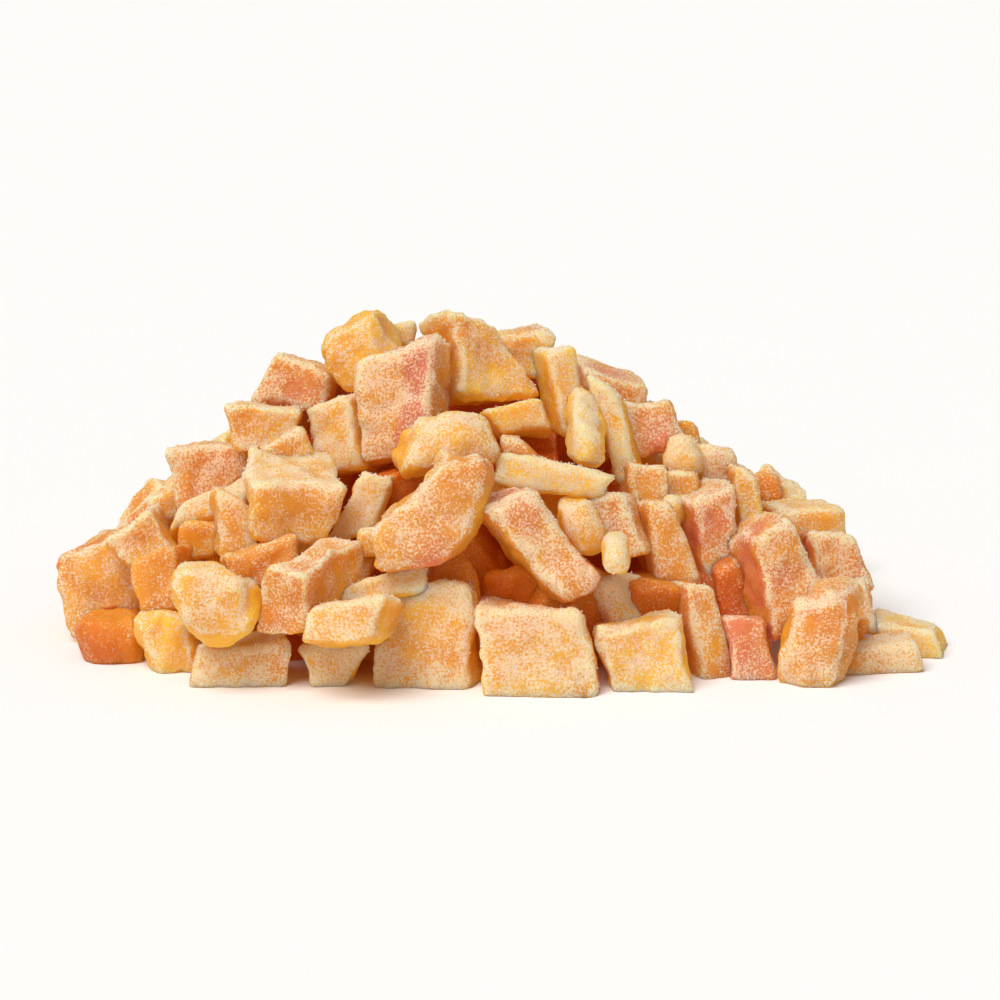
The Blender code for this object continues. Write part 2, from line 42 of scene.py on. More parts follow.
# the view that the places in the tables below are read in
view = {
    "raised": np.radians(12.0),  # how far down the camera looks
    "distance": 600.0,
    "aim": 14.5,  # how far up the view the middle of the picture is
    "pictureWidth": 125.0,  # of what the picture takes in at that distance
    "sensorWidth": 36.0,
    "clip": (0.01, 10.0),  # nearest and farthest that the camera shows, in metres
    "search": 80.0,  # how far before and behind the middle a line of sight is followed,
    "step": 0.2,  # and in what steps
}
upTheView = np.array([0, np.sin(view["raised"]), np.cos(view["raised"])])
intoTheView = np.array([0, np.cos(view["raised"]), -np.sin(view["raised"])])

# the mound: a ragged cone with its crest left of the middle
mound = {
    "crest": (-10.0, 3.0),
    "crestHeight": 45.5,
    "runLeft": 57.0, "runRight": 74.0, "runFront": 55.0, "runBack": 49.0,
    "middle": (-2.5, 0.0),
    "halfWidth": 48.5, "halfDepth": 41.0,
    "squareness": 2.5,
    "topSeen": 35.0,  # of the outline in the view, which falls from there by fall * distance ** power
    "fallLeft": 0.0185, "powerLeft": 2,
    "fallRight": 0.00135, "powerRight": 2.5,
}

# how each kind of cut differs from a plain box: lengths, shares of its size, and angles in degrees
forms = {
    "dice": {"round": 1.15, "sink": 0.36},
    "slant": {"round": 1.15, "sink": 0.36, "skew": -0.2},
    "rhomb": {"round": 1.2, "sink": 0.36, "skew": -0.55},
    "wedge": {"round": 1.15, "sink": 0.36, "taper": 0.3},
    "lobe": {"round": 2.3, "sink": 0.0, "swell": 0.35, "lumps": 0.35},
    "crescent": {"round": 1.3, "sink": 0.1, "bend": -85, "point": 0.35},
    "curl": {"round": 0.9, "sink": 0.1, "arch": 65, "point": 0.3},
    "strip": {"round": 0.9, "sink": 0.1, "arch": 20, "point": 0.25},
}

# Pieces on the slope, from the crest down. Tone runs from yellow, 0, to pink, 1, patch is the tone of their patches,
# and dust is how much sugar they took. The corners are those of the front face as it is seen, across and up: top
# left, top right, bottom right, bottom left. Lean and turn are in degrees; proud is how far the face stands out.
slope = [
    # form, tone, patch, dust, corners, deep, lean, turn, proud
    ("lobe", 0.10, 0.22, 0.38, (-22.8, 33.6), (-15.6, 39.0), (-11.5, 32.5), (-19.0, 26.8), 10.0, 10, 0, 0.0),
    ("dice", 0.20, 0.30, 0.42, (-14.2, 36.2), (-10.6, 37.0), (-10.8, 33.6), (-14.6, 33.2), 8.0, 10, 0, -2.0),
    ("dice", 0.24, 0.42, 0.50, (-6.3, 38.6), (-0.8, 37.4), (5.6, 27.6), (-4.5, 27.8), 9.0, 16, 30, 2.0),
    ("dice", 0.55, 1.00, 0.60, (-18.4, 31.6), (-8.2, 35.0), (-8.8, 20.4), (-17.4, 19.6), 9.0, 14, -14, 3.0),
    ("lobe", 0.28, 0.42, 0.55, (-9.0, 24.8), (-0.8, 25.0), (0.8, 18.6), (-13.6, 18.0), 15.0, 12, 8, 4.0),
    ("dice", 0.28, 0.40, 0.26, (-2.6, 25.8), (5.6, 27.4), (6.6, 23.4), (0.0, 22.9), 11.5, 18, 5, 2.0),
    ("dice", 0.35, 0.50, 0.50, (-0.4, 35.0), (7.2, 35.8), (6.2, 29.6), (2.4, 29.8), 10.0, 10, 10, -3.0),
    ("dice", 0.04, 0.16, 0.60, (5.8, 33.4), (10.0, 34.0), (10.4, 22.6), (8.0, 22.4), 9.0, 12, 15, 2.5),
    ("dice", 0.05, 0.18, 0.76, (10.3, 30.4), (14.4, 28.4), (17.6, 16.8), (14.6, 16.2), 9.0, 12, -10, 2.5),
    ("lobe", 0.05, 0.12, 0.62, (9.2, 23.6), (12.8, 22.0), (13.2, 17.2), (8.6, 18.2), 17.0, -10, 0, 1.5),
    ("dice", 0.50, 0.80, 0.42, (10.4, 31.0), (18.6, 28.8), (18.2, 25.4), (10.8, 28.0), 11.0, -1, 10, -1.5),
    ("dice", 0.70, 0.90, 0.50, (15.2, 26.6), (21.2, 27.0), (24.0, 21.2), (17.0, 19.4), 10.0, 12, 10, 0.0),
    ("lobe", 0.20, 0.30, 0.50, (20.8, 22.6), (25.2, 22.0), (25.4, 17.0), (20.4, 17.8), 9.5, 12, 0, 0.5),
    ("dice", 0.50, 0.60, 0.16, (22.4, 24.8), (25.0, 24.2), (25.2, 21.2), (22.8, 21.4), 8.0, 12, 0, -1.5),
    ("dice", 0.52, 0.60, 0.33, (16.6, 19.6), (21.4, 18.6), (20.8, 13.4), (15.8, 12.0), 11.5, 15, 15, 0.5),
    ("dice", 0.40, 0.50, 0.41, (20.4, 18.4), (24.9, 17.6), (24.8, 14.4), (20.2, 14.0), 9.0, 12, 0, -0.5),
    ("lobe", 0.25, 0.40, 0.45, (20.2, 15.4), (23.6, 14.8), (23.2, 11.4), (20.8, 11.6), 8.0, 12, 0, 0.5),
    ("dice", 0.26, 0.36, 0.68, (24.8, 21.6), (29.4, 20.8), (30.4, 16.0), (25.8, 15.4), 9.0, 15, 10, 0.0),
    ("dice", 0.42, 0.50, 0.36, (29.0, 19.0), (32.2, 17.4), (33.2, 10.6), (30.2, 9.2), 12.0, 12, 0, -1.0),
    ("dice", 0.46, 0.52, 0.10, (31.8, 18.0), (35.0, 17.8), (35.6, 14.2), (32.8, 14.0), 8.0, 10, 0, -2.0),
    ("dice", 0.28, 0.42, 0.46, (34.0, 13.4), (43.0, 13.6), (44.0, 9.2), (36.6, 9.6), 10.0, 4, 10, 0.0),
    ("dice", 0.55, 0.70, 0.45, (-28.4, 33.0), (-21.4, 30.3), (-22.0, 26.0), (-32.2, 26.6), 11.0, 12, -8, 0.0),
    ("dice", 0.30, 0.50, 0.50, (-34.6, 26.2), (-24.6, 25.8), (-26.6, 21.8), (-33.0, 20.6), 10.5, 7, 0, 1.0),
    ("dice", 0.32, 0.46, 0.60, (-24.8, 25.8), (-19.2, 27.8), (-17.6, 18.8), (-23.2, 17.8), 9.5, 12, -25, 1.5),
    ("dice", 0.65, 0.80, 0.45, (-42.2, 20.9), (-31.0, 21.4), (-31.4, 17.4), (-40.4, 12.8), 11.0, 12, 0, 0.0),
    ("dice", 0.40, 0.60, 0.45, (-29.5, 21.2), (-24.2, 23.8), (-22.6, 18.2), (-31.0, 17.2), 10.0, 12, 8, 0.0),
    ("dice", 0.35, 0.50, 0.55, (-31.0, 16.4), (-19.4, 15.8), (-21.8, 9.0), (-30.6, 9.6), 13.0, -5, 6, 2.5),
    ("dice", 0.28, 0.40, 0.60, (-39.8, 14.2), (-31.0, 18.4), (-31.2, 14.2), (-41.6, 10.8), 8.5, 42, 0, 1.0),
    ("dice", 0.34, 0.44, 0.16, (-40.4, 11.6), (-35.2, 11.8), (-35.4, 7.4), (-40.2, 6.2), 8.0, 12, 0, -1.5),
    ("dice", 0.38, 0.50, 0.42, (-35.4, 15.8), (-31.0, 13.8), (-30.0, 8.2), (-35.3, 7.0), 10.0, 12, 8, 3.0),
    ("dice", 0.30, 0.42, 0.36, (-44.6, 14.8), (-40.6, 16.2), (-39.6, 12.2), (-43.2, 11.8), 9.0, 10, 0, -1.0),
    ("dice", 0.40, 0.50, 0.52, (-49.6, 9.2), (-43.6, 13.6), (-40.6, 7.8), (-46.0, 6.0), 11.5, 12, 0, 0.5),
    ("lobe", 0.55, 0.78, 0.37, (-56.4, 7.4), (-48.0, 11.0), (-43.0, 1.4), (-54.8, -4.0), 12.0, 12, -8, 0.0),
    ("dice", 0.50, 0.55, 0.14, (-46.4, 6.6), (-40.4, 9.4), (-40.2, 0.8), (-45.0, 0.4), 10.0, 12, -12, 0.0),
    ("lobe", 0.14, 0.30, 0.60, (-41.2, 6.8), (-31.0, 4.8), (-30.6, -3.2), (-39.6, -2.8), 10.0, 12, 0, 4.0),
    ("dice", 0.45, 0.50, 0.20, (-34.8, 7.6), (-24.8, 10.4), (-25.2, 4.6), (-33.0, 3.2), 8.5, 12, 8, 1.5),
    ("dice", 0.48, 0.60, 0.55, (-28.8, 6.4), (-24.4, 5.2), (-24.8, -2.8), (-30.8, -2.2), 12.0, -6, -36, 3.0),
    ("dice", 0.30, 0.42, 0.74, (-17.0, 18.0), (-13.4, 17.4), (-15.4, 10.6), (-21.8, 8.8), 11.0, 12, 0, 2.5),
    ("dice", 0.60, 0.66, 0.02, (-15.6, 17.4), (-8.4, 18.8), (-9.2, 11.2), (-15.6, 11.0), 10.0, 12, 10, -3.5),
    ("crescent", 0.54, 0.66, 0.44, (-4.8, 20.6), (0.7, 14.9), (-11.5, 3.0), (-17.0, 8.7), 8.0, 10, 0, 4.5),
    ("dice", 0.40, 0.50, 0.34, (-18.0, 10.8), (-14.0, 11.4), (-13.0, 7.0), (-17.4, 7.2), 9.0, 10, 0, -0.5),
    ("dice", 0.30, 0.40, 0.70, (-19.6, 4.0), (-9.4, 7.0), (-9.2, 3.2), (-20.2, 1.2), 10.0, 20, 0, 1.5),
    ("dice", 0.32, 0.50, 0.54, (-23.8, 1.4), (-14.4, 2.6), (-16.4, -2.6), (-25.0, -3.8), 11.5, 14, -10, 2.0),
    ("lobe", 0.52, 0.60, 0.10, (-9.2, 7.0), (-4.4, 8.4), (-1.6, 0.6), (-8.8, 1.0), 9.0, 10, 0, -1.0),
    ("lobe", 0.62, 0.70, 0.02, (-5.6, 7.8), (0.4, 9.6), (2.0, 3.0), (-2.8, 2.2), 10.0, 10, 10, -6.0),
    ("dice", 0.45, 0.60, 0.02, (-1.4, 5.4), (5.8, 6.4), (7.0, -0.4), (-2.0, -1.0), 10.0, 10, 0, -5.0),
    ("dice", 0.45, 0.60, 0.35, (-1.2, 17.8), (4.2, 16.8), (3.8, 13.8), (-1.6, 14.2), 8.5, 12, 0, 1.0),
    ("dice", 0.40, 0.45, 0.06, (4.0, 16.8), (10.8, 15.8), (9.4, 11.4), (4.8, 11.8), 8.0, 12, 0, 0.0),
    ("dice", 0.60, 0.90, 0.60, (-1.9, 13.4), (4.0, 16.2), (13.2, 4.2), (8.6, 0.8), 11.0, 14, 14, 4.0),
    ("lobe", 0.20, 0.30, 0.50, (6.8, 14.0), (12.0, 15.0), (14.0, 8.4), (9.0, 7.8), 11.0, 12, 0, 6.0),
    ("dice", 0.62, 0.80, 0.50, (11.0, 14.8), (15.0, 15.8), (18.6, 8.0), (14.4, 6.6), 11.0, 12, -8, 3.0),
    ("lobe", 0.10, 0.20, 0.60, (13.0, 9.8), (16.0, 10.0), (16.4, 5.2), (13.0, 5.4), 9.5, 10, 0, 6.5),
    ("strip", 0.02, 0.06, 0.70, (13.8, 17.8), (12.6, 14.4), (-0.8, 16.4), (-0.6, 20.8), 4.0, 12, 0, 4.5),
    ("dice", 0.46, 0.56, 0.28, (0.0, 22.6), (2.4, 22.2), (5.8, 19.0), (0.4, 19.6), 11.5, 10, 0, 0.5),
    ("dice", 0.52, 0.62, 0.34, (18.4, 14.2), (21.8, 14.2), (25.6, 3.6), (19.6, 3.4), 11.0, 12, 10, 2.5),
    ("dice", 0.70, 0.90, 0.50, (24.2, 14.4), (29.6, 17.2), (30.4, 7.2), (25.8, 4.8), 11.0, 12, 20, 3.0),
    ("lobe", 0.30, 0.40, 0.80, (11.6, 5.2), (18.2, 5.0), (19.8, -1.6), (11.0, -1.6), 8.0, 14, 0, -4.0),
    ("dice", 0.60, 0.70, 0.08, (26.8, 5.8), (30.6, 8.2), (32.0, -0.8), (27.4, -0.8), 10.0, 10, 10, -3.5),
    ("dice", 0.70, 1.00, 0.47, (31.8, 9.2), (36.4, 12.8), (40.8, 4.2), (34.6, -3.2), 12.0, 12, 18, 3.0),
    ("dice", 0.70, 0.90, 0.56, (38.6, 10.6), (45.0, 9.4), (47.2, 3.6), (40.2, 3.2), 10.0, 12, 0, -0.5),
    ("dice", 0.30, 0.42, 0.62, (40.8, 3.8), (45.8, 4.4), (47.4, -2.2), (42.4, -1.8), 8.5, 12, 0, 1.0),
    ("dice", 0.42, 0.45, 0.06, (40.8, -0.4), (46.4, -0.6), (45.4, -4.4), (39.8, -6.0), 8.0, 12, 0, 1.0),
]

# pieces that stand on the floor, left to right
bottomRow = [
    # form, tone, patch, dust, corners, deep, lean, turn
    ("lobe", 0.50, 0.55, 0.05, (-53.2, -0.4), (-44.6, 0.2), (-44.0, -6.0), (-51.4, -5.6), 12.0, 4, 6),
    ("lobe", 0.20, 0.36, 0.40, (-45.6, 1.2), (-40.0, 1.6), (-36.4, -6.8), (-43.6, -7.4), 9.5, 12, 0),
    ("dice", 0.42, 0.56, 0.72, (-37.8, -4.8), (-26.4, -3.2), (-27.4, -9.2), (-38.6, -8.8), 8.0, 5, 0),
    ("dice", 0.32, 0.42, 0.75, (-25.0, -3.8), (-15.8, -4.2), (-19.4, -9.6), (-23.8, -9.6), 8.0, 5, 0),
    ("dice", 0.32, 0.46, 0.68, (-13.5, 2.6), (-3.8, 2.8), (-4.0, -9.8), (-16.0, -9.8), 12.0, 11, -9),
    ("dice", 0.35, 0.80, 0.65, (-3.0, 1.4), (10.1, 1.1), (12.3, -9.7), (-0.6, -9.8), 11.5, 11, 0),
    ("dice", 0.28, 0.40, 0.57, (11.6, -0.9), (21.8, 0.1), (24.0, -8.8), (14.8, -9.4), 11.5, 11, 0),
    ("dice", 0.60, 0.74, 0.46, (23.2, 3.9), (26.6, 3.7), (29.8, -7.8), (25.2, -8.3), 10.5, 11, 22),
    ("dice", 0.85, 0.95, 0.30, (27.6, 0.3), (33.0, 0.3), (34.8, -7.6), (29.2, -7.6), 11.0, 10, 0),
    ("lobe", 0.46, 0.58, 0.52, (35.8, 1.8), (44.8, 4.2), (41.8, -8.6), (34.4, -8.6), 10.0, 11, -6),
    ("dice", 0.50, 0.68, 0.65, (42.0, -4.6), (52.6, -3.4), (53.2, -6.9), (39.6, -8.4), 8.0, 3, 6),
    ("dice", 0.16, 0.30, 0.55, (46.4, -0.8), (54.4, -2.2), (55.8, -5.6), (48.6, -5.4), 8.0, 2, -6),
]

# the rest of the outer layer, in rings up the mound wherever the tables leave room
ringPieces = {
    "size": 10.6,
    "smallest": (0.75, 0.65, 0.75), "largest": (1.1, 0.95, 1.15),  # width, depth and height as shares of that
    "turnedFrom": (-60, -30, -180), "turnedTo": (60, 50, 180),  # roll, lean and turn in degrees
    "closest": 7.2,
    "alongRing": 9.0,
    "astray": 1.0,
    "insets": (4.8, 11.0, 17.0, 23.5, 30.0, 36.0, 8.0, 14.0, 20.0, 27.0, 33.0),
    "underSkin": 7.6,
    "underOutline": 4.5,
    "odds": (0.44, 0.14, 0.04, 0.12, 0.12, 0.07, 0.07, 0.0),  # of each form, in the order above
    "tone": (0.42, 0.18), "toneRange": (0.05, 0.9),  # mean and spread
    "patch": 0.25,  # added to the tone
    "dust": (0.35, 0.65),
}

# how pieces that overlap are parted
settling = {
    "rounds": 40,
    "share": 0.3,  # of an overlap, parted in one round
    "near": 22.0,  # pieces whose middles are farther apart can't touch
    "parallel": 0.1,  # edges with a lesser sine between them count as parallel
    "freePick": 0.02, "freePush": 0.2,  # least freedom along a way out, when one is picked and when it is pushed
    "reachSlope": 4.0, "reachFloor": 2.0, "reachRing": 2.5,  # how far a piece may slide
    "headroom": 0.5,
}

# how every piece is cut
cut = {
    "outOfTrue": 0.09,  # how far a corner may stray, as a share of the size
    "oversize": 1.05,  # faces that were read off are cut larger, for what the soft edges take off
    "readOff": 0.25,  # the share of that left to corners that were read off the view
    "boxShare": 0.46,  # half the size, less what the soft edges take off, for pieces that lean on each other
    "seenFacet": 0.38, "ringFacet": 0.55, "underFacet": 1.0,  # of the grids, with so many cells a side at least:
    "fewest": 4,
    "even": 0.45, "crowded": 0.55,  # shares of the grid that is even and that crowds towards the edges
    "hollow": (-0.6, 1.5), "hollowSize": 8.0,  # shares of a form's sink; thinner pieces get less
    "roundness": (0.85, 1.25), "roundest": 0.42,  # shares of a form's round, and the most, of the least side
    "oval": 1.12,  # size of the oval that lobes swell towards
    "waist": (-0.04, 0.07),  # how far outlines draw in halfway between corners, as a share of the half size
    "ripples": ((8.0, 0.42), (3.0, 0.19), (1.4, 0.10)),  # wavelength and height
    "rippleShare": 0.55, "rippleSize": 7.0,  # of the height, and smaller pieces get less
    "lumpLength": 5.0,
    "pressed": 0.6, "pressedUpTo": 2.0, "offFloor": 0.03,  # what is near the floor is set down on it
}

# how flesh and sugar are laid over a piece
coating = {
    "facing": (0.0, -0.55, 0.83), "facingPower": 9,  # sides turned this way, up and to the front as the lamp is, get the most sugar: partly real sugar, partly painted light on the lit sides
    "patchLength": 9.0, "patchEdge": (0.0, 1.1),
    "driftLength": 14.0, "drift": 0.10,  # slow change of tone
    "rimWidth": 1.6, "rimInside": 0.1, "rimLength": 5.0, "rimUneven": 0.35,
    "everywhere": 0.18, "onFacing": 1.0, "onRim": 0.80, "offPatches": 0.35,  # shares of the piece's dust
    "uneven": ((3.5, 0.11), (1.8, 0.04)),  # wavelength and height
    "fullDust": 0.3,  # pieces with less dust are less uneven
    "clear": (0.02, 0.3),  # dusts from clear to frosted
    "mostSugar": 0.78,  # short of 1, so flesh still shows between the grains on the palest edges
    "paintedShadeDepths": (5.0, 13.0),  # depths inside the mound over which painted shade comes in: flesh turns deep orange and its sugar thins out
    "paintedShadePower": 1.3, "paintedSideShadePower": 0.15, "paintedClearShadePower": 0.4,  # what each adds to the power of the flesh's colour, which darkens it as painted shade: deep inside, on sides, on clear pieces
    "paintedShadeThinsSugar": 0.8,
}


# How far out on the footprint = the sum of |distance from its middle / half its width or depth| ** squareness.
def farOut(x, y):
    return (np.abs((x - mound["middle"][0]) / mound["halfWidth"]) ** mound["squareness"]
            + np.abs((y - mound["middle"][1]) / mound["halfDepth"]) ** mound["squareness"])


# Height of the mound's skin = crest height * (1 - distance from the crest / the run that way), -1 off the footprint.
def skinHeight(x, y):
    across = np.where(x < mound["crest"][0], mound["runLeft"], mound["runRight"])
    along = np.where(y < mound["crest"][1], mound["runFront"], mound["runBack"])
    out = np.hypot((x - mound["crest"][0]) / across, (y - mound["crest"][1]) / along)
    return np.where(farOut(x, y) > 1, -1.0, mound["crestHeight"] * (1 - out))


# The footprint's outline = its middle + (half its width or depth - an inset) * |cos or sin| ** (2 / squareness).
def roundFootprint(inset, angle):
    cos, sin = np.cos(angle), np.sin(angle)
    power = 2 / mound["squareness"]
    x = mound["middle"][0] + (mound["halfWidth"] - inset) * np.sign(cos) * np.abs(cos) ** power
    y = mound["middle"][1] + (mound["halfDepth"] - inset) * np.sign(sin) * np.abs(sin) ** power
    return x, y


# Depth inside the mound = the lesser of the depths below its skin and in from the edge of its footprint.
def depthInside(points):
    x, y, z = points.T
    out = farOut(x, y) ** (1 / mound["squareness"])
    return np.minimum(skinHeight(x, y) - z, mound["halfDepth"] * (1 - out))


# Line of sight through a place in the view: eye = aim up the view - distance into it, direction = place - eye.
def sightLine(across, up):
    eye = view["aim"] * upTheView - view["distance"] * intoTheView
    through = np.array([across, 0, 0]) + up * upTheView
    return eye, (through - eye) / np.linalg.norm(through - eye)


# The first point of the skin along a line of sight, or the nearest miss.
def onTheSkin(across, up):
    eye, ray = sightLine(across, up)
    steps = np.arange(view["distance"] - view["search"], view["distance"] + view["search"], view["step"])
    points = eye + steps[:, None] * ray
    above = points[:, 2] - skinHeight(points[:, 0], points[:, 1])
    hit = int(np.argmax(above < 0)) if (above < 0).any() else int(np.argmin(above))
    return points[hit], ray


# Rows: a piece's own width, depth and height = the world's, rolled, then leant back, then turned about the upright.
def axesOf(roll, lean, turn):
    return np.array(Euler(np.radians([-lean, roll, turn]), "YXZ").to_matrix()).T


# The piece behind a front face. Each corner = where its line of sight meets the plane through the anchor square to
# the depth direction; size and axes come from the mean edges, and pulled = how far the corners are from a box's.
def behindFace(corners, anchor, deep, lean, turn):
    depth = axesOf(0, lean, turn)[1]
    face = []
    for across, up in corners:
        eye, ray = sightLine(across, up)
        face.append(eye + ray * ((anchor - eye) @ depth) / (ray @ depth))
    middle = np.mean(face, axis=0)
    topLeft, topRight, bottomRight, bottomLeft = middle + cut["oversize"] * (np.array(face) - middle)
    wide = (topRight - topLeft + bottomRight - bottomLeft) / 2
    tall = (topLeft - bottomLeft + topRight - bottomRight) / 2
    across = wide / np.linalg.norm(wide)
    upward = np.cross(across, depth)
    size = np.array([np.linalg.norm(wide), deep, tall @ upward])
    pulled = np.zeros((2, 2, 2, 3))
    for i, k, corner in ((0, 1, topLeft), (1, 1, topRight), (1, 0, bottomRight), (0, 0, bottomLeft)):
        pulled[i, :, k, 0] = (corner - middle) @ across - (i - 0.5) * size[0]
        pulled[i, :, k, 2] = (corner - middle) @ upward - (k - 0.5) * size[2]
    return {"at": middle + depth * deep / 2, "size": size, "axes": np.array([across, depth, upward]),
            "pulled": pulled}


# The pieces of both tables, each with its looks and the way it may slide to make room. The middle of a front face =
# where its line of sight meets the skin, less what it stands proud; in the bottom row its foot meets the floor.
def tablePieces():
    found = []
    for form, tone, patch, dust, *corners, deep, lean, turn, proud in slope:
        surface, ray = onTheSkin(*np.mean(corners, axis=0))
        found.append({"form": form, "tone": tone, "patch": patch, "dust": dust, "slide": ray,
                      "reach": settling["reachSlope"],
                      **behindFace(corners, surface - ray * proud, deep, lean, turn)})
    for form, tone, patch, dust, *corners, deep, lean, turn in bottomRow:
        eye, ray = sightLine(*np.mean(corners[2:], axis=0))
        found.append({"form": form, "tone": tone, "patch": patch, "dust": dust, "slide": np.array([0.0, 1.0, 0.0]),
                      "reach": settling["reachFloor"],
                      **behindFace(corners, eye - ray * eye[2] / ray[2], deep, lean, turn)})
    return found


# The height, at a place, that shows level with the outline = (top - fall * distance ** power - y sin) / cos.
def outlineHeight(x, y):
    out = x - mound["crest"][0]
    fallLeft = mound["fallLeft"] * out ** mound["powerLeft"]
    fallRight = mound["fallRight"] * np.abs(out) ** mound["powerRight"]
    up = mound["topSeen"] - np.where(out < 0, fallLeft, fallRight)
    return (up - y * np.sin(view["raised"])) / np.cos(view["raised"])


# Angles of the pieces round a ring = (number + a shared random start) * 2 pi / count, count = the way round / a step.
def anglesRound(inset, step, random):
    count = round(np.pi * (mound["halfWidth"] + mound["halfDepth"] - 2 * inset) / step)
    return (np.arange(count) + random.uniform()) * 2 * np.pi / count


# Rings of pieces in from the footprint's edge: place = the outline at an inset, height = skin height - a depth.
def addRings(found, random):
    for ring, inset in enumerate(ringPieces["insets"]):
        for angle in anglesRound(inset, ringPieces["alongRing"], random):
            at = np.array([*roundFootprint(inset, angle), 0.0])
            at[:2] += ringPieces["astray"] * random.uniform(-1, 1, 2)
            form = str(random.choice(list(forms), p=ringPieces["odds"]))
            size = ringPieces["size"] * random.uniform(ringPieces["smallest"], ringPieces["largest"])
            axes = axesOf(*random.uniform(ringPieces["turnedFrom"], ringPieces["turnedTo"]))
            resting = cut["boxShare"] * np.abs(axes[:, 2]) @ size
            at[2] = max(resting, (ring > 0) * (float(skinHeight(*at[:2])) - ringPieces["underSkin"]))
            shows = at[2] > outlineHeight(at[0], at[1]) - ringPieces["underOutline"]
            if not shows and min(np.linalg.norm(at - other["at"]) for other in found) > ringPieces["closest"]:
                found.append({"form": form, "at": at, "size": size, "axes": axes, "slide": None,
                              "reach": settling["reachRing"]})


# Parts overlapping boxes a little each round, along the way out that takes the least push: overlap = the sum of both
# half extents that way - the distance between the middles. Ways out are each box's axes and their cross products.
# A piece from the tables only slides along its own line of sight, so it stays where it is seen.
def settle(found):
    start = np.array([piece["at"] for piece in found])
    half = cut["boxShare"] * np.array([piece["size"] for piece in found])
    axes = np.array([piece["axes"] for piece in found])
    freedom = np.array([np.eye(3) if piece["slide"] is None else np.outer(piece["slide"], piece["slide"])
                        for piece in found])
    reach = np.array([piece["reach"] for piece in found])
    first, second = np.triu_indices(len(found), 1)
    near = np.linalg.norm(start[first] - start[second], axis=1) < settling["near"]
    first, second = first[near], second[near]
    crossed = np.cross(axes[first][:, :, None], axes[second][:, None]).reshape(len(first), 9, 3)
    length = np.linalg.norm(crossed, axis=2, keepdims=True)
    least = settling["parallel"]
    crossed = np.where(length > least, crossed / np.maximum(length, least), axes[first][:, :1])
    ways = np.concatenate([axes[first], axes[second], crossed], axis=1)
    extent = sum(np.einsum("pwa,pa->pw", np.abs(np.einsum("pwk,pak->pwa", ways, axes[own])), half[own])
                 for own in (first, second))
    ease = sum(np.einsum("pwk,pkl,pwl->pw", ways, freedom[own], ways) for own in (first, second))
    lowest = np.einsum("pa,pa->p", np.abs(axes[:, :, 2]), half)
    unseen = np.array([piece["slide"] is None for piece in found])
    pick = np.arange(len(first))
    at = start.copy()
    for _ in range(settling["rounds"]):
        apart = np.einsum("pwk,pk->pw", ways, at[second] - at[first])
        overlap = extent - np.abs(apart)
        touching = (overlap > 0).all(axis=1)
        best = (overlap / np.maximum(ease, settling["freePick"])).argmin(axis=1)
        push = touching * overlap[pick, best] / np.maximum(ease[pick, best], settling["freePush"])
        push = settling["share"] * (push * np.where(apart[pick, best] < 0, -1, 1))[:, None] * ways[pick, best]
        np.add.at(at, second, np.einsum("pkl,pl->pk", freedom[second], push))
        np.add.at(at, first, -np.einsum("pkl,pl->pk", freedom[first], push))
        moved = at - start
        far = np.linalg.norm(moved, axis=1)
        at = start + moved * (np.minimum(far, reach) / np.maximum(far, 1e-9))[:, None]
        hidden = outlineHeight(at[:, 0], at[:, 1])
        ceiling = np.minimum(skinHeight(at[:, 0], at[:, 1]), hidden) - ringPieces["underSkin"] + settling["headroom"]
        at[unseen, 2] = np.maximum(np.minimum(at[unseen, 2], ceiling[unseen]), lowest[unseen])
    for piece, middle in zip(found, at):
        piece["at"] = middle


outer = tablePieces()
seenCount = len(outer)
addRings(outer, np.random.default_rng(7))
settle(outer)
outerCorners = np.random.default_rng(11).uniform(-1, 1, (len(outer), 2, 2, 2, 3))
looks = np.random.default_rng(23)
for piece in outer[seenCount:]:
    tone = float(np.clip(looks.normal(*ringPieces["tone"]), *ringPieces["toneRange"]))
    piece.update(tone=tone, patch=min(tone + ringPieces["patch"], 1.0), dust=float(looks.uniform(*ringPieces["dust"])))
    away = piece["at"][:2] - mound["middle"]  # round the back, it is the outward sides that took the most sugar
    piece["facing"] = np.array([*(-coating["facing"][1] * away / np.linalg.norm(away)), coating["facing"][2]])
print("laid out", len(outer), "pieces,", seenCount, "of them from the tables")

# what lies under the outer layer and shows in its gaps; their scant sugar and deep tones are painted shade
underLayer = {
    "insets": (14.0, 21.0, 28.0, 35.0),
    "alongRing": 10.0,
    "astray": 1.0,
    "underSkin": 16.0,
    "size": 9.5, "smallest": 0.85, "largest": 1.15,
    "turnedFrom": (-50, -30, -180), "turnedTo": (50, 50, 180),
    "closest": 8.0,
    "forms": ("dice", "slant", "wedge"),
    "tone": (0.4, 0.75), "patch": 0.1, "dust": 0.05,
}


# Rings as above, deeper, with every piece a plain dice or wedge.
def layUnder(random):
    found = []
    for inset in underLayer["insets"]:
        for angle in anglesRound(inset, underLayer["alongRing"], random):
            x, y = roundFootprint(inset, angle) + underLayer["astray"] * random.uniform(-1, 1, 2)
            size = underLayer["size"] * random.uniform(underLayer["smallest"], underLayer["largest"], 3)
            axes = axesOf(*random.uniform(underLayer["turnedFrom"], underLayer["turnedTo"]))
            resting = cut["boxShare"] * np.abs(axes[:, 2]) @ size
            at = np.array([x, y, max(resting, float(skinHeight(x, y)) - underLayer["underSkin"])])
            if all(np.linalg.norm(at - other["at"]) > underLayer["closest"] for other in found):
                tone = random.uniform(*underLayer["tone"])
                found.append({"form": str(random.choice(underLayer["forms"])), "at": at, "size": size, "axes": axes,
                              "tone": tone, "patch": tone + underLayer["patch"], "dust": underLayer["dust"]})
    return found


under = layUnder(np.random.default_rng(31))
underCorners = np.random.default_rng(37).uniform(-1, 1, (len(under), 2, 2, 2, 3))
print("laid", len(under), "pieces under them")

# named colours of the flesh, from near the skin of the fruit to near its stone
fleshTones = np.array([
    [0.88, 0.52, 0.060],
    [0.77, 0.37, 0.034],
    [0.68, 0.26, 0.034],
    [0.64, 0.19, 0.095],
])


